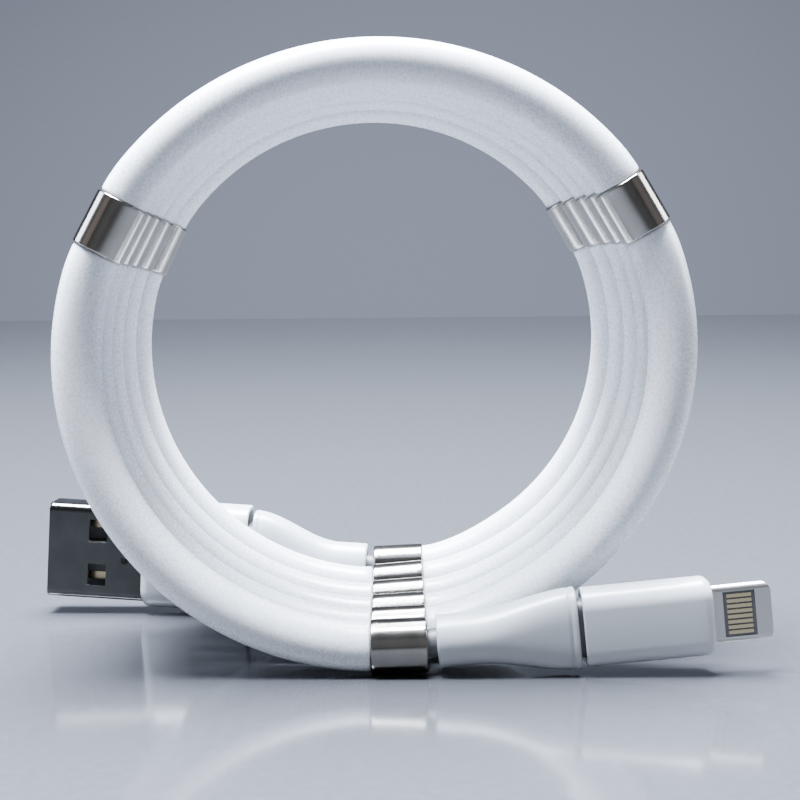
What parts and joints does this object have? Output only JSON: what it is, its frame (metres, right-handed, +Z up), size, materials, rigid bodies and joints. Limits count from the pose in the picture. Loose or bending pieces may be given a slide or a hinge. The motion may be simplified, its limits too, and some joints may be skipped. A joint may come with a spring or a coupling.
{
  "type": "charging cable",
  "caption": "Soft round charging cable wound into a standing hoop that magnet rings hold together turn on turn, with a wide charger plug at one end and a slim phone plug at the other.",
  "frame": {"origin": "under the middle of the whole cable, on the surface that it stands on", "axes": "+Z up, the hoop's axis along Y, the phone plug in front at low Y and pointing to +X, the charger plug behind and pointing to -X"},
  "size_m": [0.0883, 0.041, 0.0714],
  "materials": {
    "cord_jacket": "soft white silicone-like jacket, satin",
    "magnet_nickel": "bright nickel plating on a sintered magnet",
    "boot_elastomer": "satin flexible moulding",
    "casing_plastic": "satin white hard plastic",
    "inner_mould": "matte inner moulding",
    "shield_steel": "tinned steel sheet",
    "plug_steel": "nickel-plated steel",
    "circuit_board": "green lacquer on glass-fibre board",
    "chip_black": "black moulded chip",
    "tab_metal": "plated metal tab",
    "insert_plastic": "dark glass-filled plastic",
    "contact_gold": "gold-plated contact",
    "tongue_plastic": "white insulating plastic",
    "braid_metal": "tinned copper braid",
    "wire_red": "red insulation",
    "wire_white": "white insulation",
    "wire_green": "green insulation",
    "wire_black": "black insulation",
    "solder": "bright solder"
  },
  "bodies": {
    "root": {"cord_coil": "cord_jacket", "magnet_ring_01": "magnet_nickel", "magnet_ring_02": "magnet_nickel", "magnet_ring_03": "magnet_nickel", "magnet_ring_04": "magnet_nickel", "magnet_ring_05": "magnet_nickel", "magnet_ring_06": "magnet_nickel", "magnet_ring_07": "magnet_nickel", "magnet_ring_08": "magnet_nickel", "magnet_ring_09": "magnet_nickel", "magnet_ring_10": "magnet_nickel", "magnet_ring_11": "magnet_nickel", "magnet_ring_12": "magnet_nickel", "magnet_ring_13": "magnet_nickel", "magnet_ring_14": "magnet_nickel", "magnet_ring_15": "magnet_nickel", "magnet_ring_16": "magnet_nickel", "phone_boot": "boot_elastomer", "phone_casing": "casing_plastic", "phone_inner_mould": "inner_mould", "phone_can": "shield_steel", "phone_braid": "braid_metal", "phone_solder": "solder", "phone_wire_red": "wire_red", "phone_wire_white": "wire_white", "phone_wire_green": "wire_green", "phone_wire_black": "wire_black", "charger_boot": "boot_elastomer", "charger_casing": "casing_plastic", "charger_inner_mould": "inner_mould", "charger_can": "shield_steel", "charger_braid": "braid_metal", "charger_solder": "solder", "charger_wire_red": "wire_red", "charger_wire_white": "wire_white", "charger_wire_green": "wire_green", "charger_wire_black": "wire_black", "phone_board": "circuit_board", "phone_chip": "chip_black", "phone_tab": "tab_metal", "phone_insert": "insert_plastic", "phone_contacts_front": "contact_gold", "phone_contacts_back": "contact_gold", "charger_sleeve": "plug_steel", "charger_tongue": "tongue_plastic", "charger_contact_power": "contact_gold", "charger_contact_minus": "contact_gold", "charger_contact_plus": "contact_gold", "charger_contact_ground": "contact_gold"}
  },
  "joints": []
}
